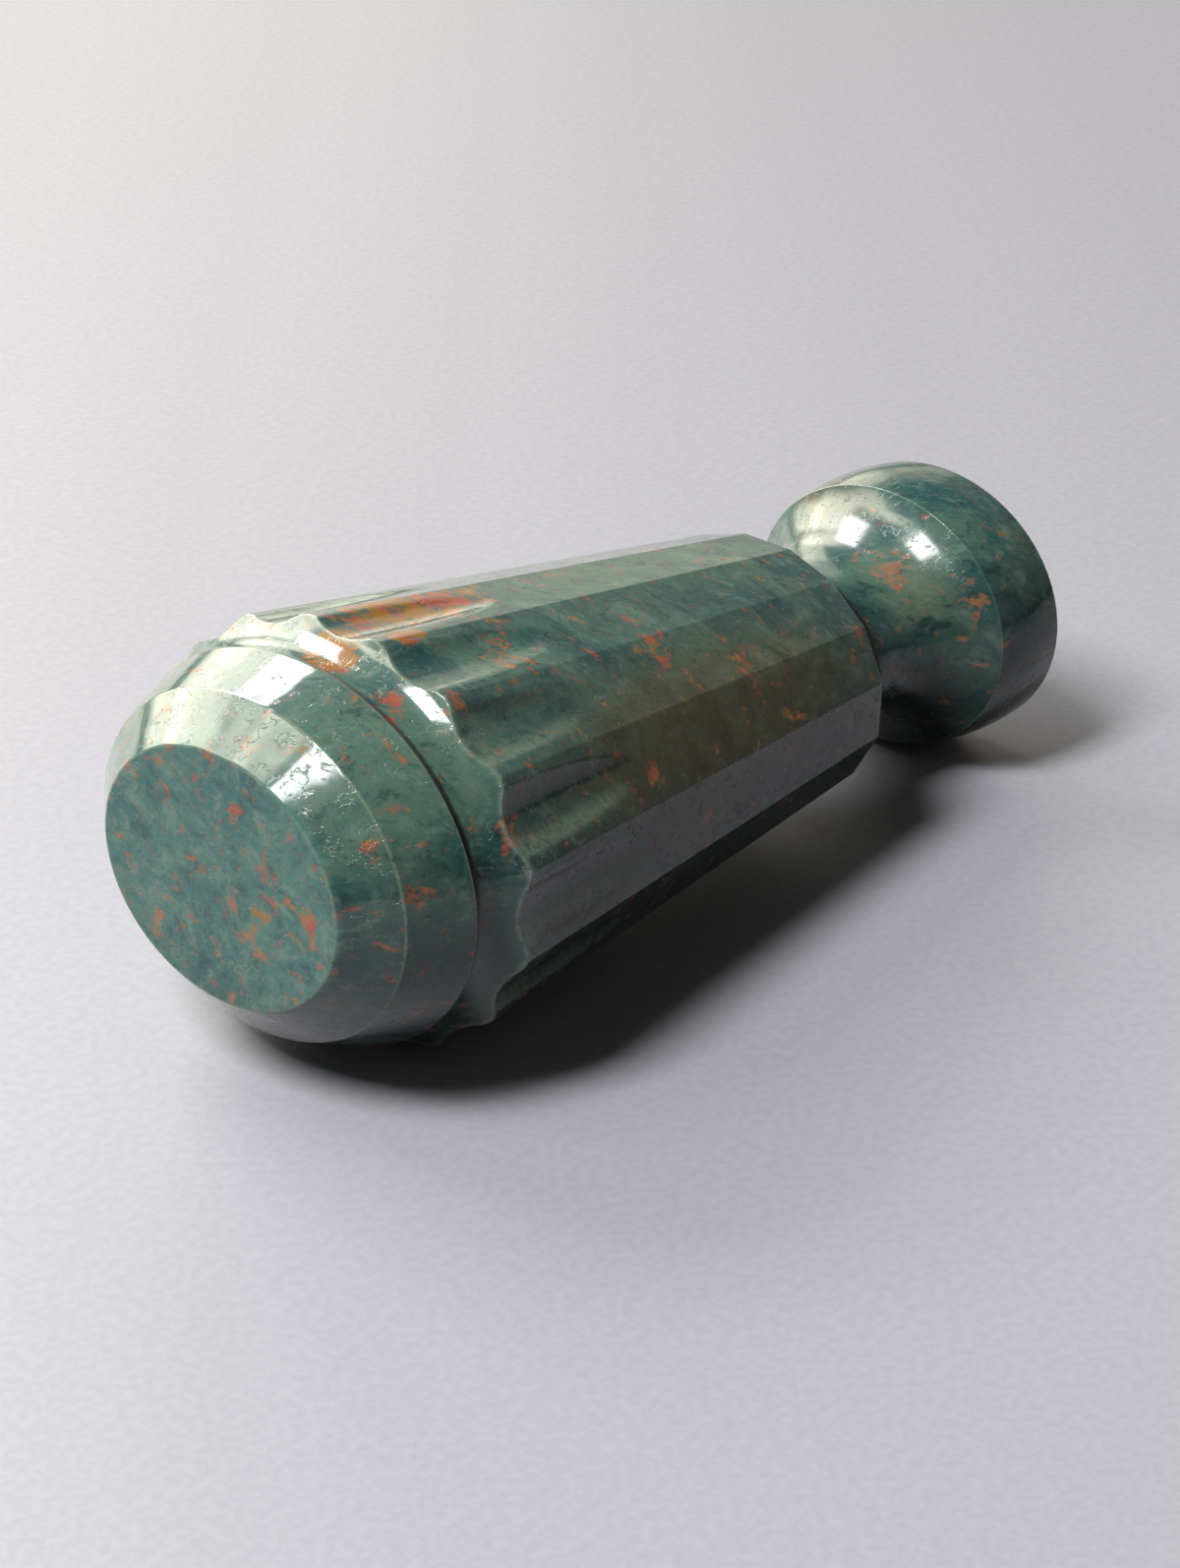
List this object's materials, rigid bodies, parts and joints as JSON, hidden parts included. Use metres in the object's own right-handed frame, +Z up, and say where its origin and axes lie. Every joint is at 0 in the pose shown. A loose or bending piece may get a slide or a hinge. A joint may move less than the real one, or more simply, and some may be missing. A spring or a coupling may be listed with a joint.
{
  "type": "desk seal",
  "caption": "Hand seal in polished bloodstone with a bevelled pommel, a faceted handle with a scalloped collar, and a waisted foot that carries a flat oval seal face.",
  "frame": {"origin": "on the table under the middle of the seal as it lies on its side", "axes": "+Z up from the table, +X along the seal from the flat of the pommel towards the seal face, +Y across its width"},
  "size_m": [0.0874, 0.0402, 0.0332],
  "materials": {
    "bloodstone": "polished, with red specks and ochre veins",
    "dowel_brass": "turned",
    "setting_cement": "matt, set hard"
  },
  "bodies": {
    "root": {"pommel_cap": "bloodstone", "handle": "bloodstone", "foot": "bloodstone", "cap_dowel": "dowel_brass", "foot_dowel": "dowel_brass", "cap_cement": "setting_cement", "foot_cement": "setting_cement"}
  },
  "joints": []
}
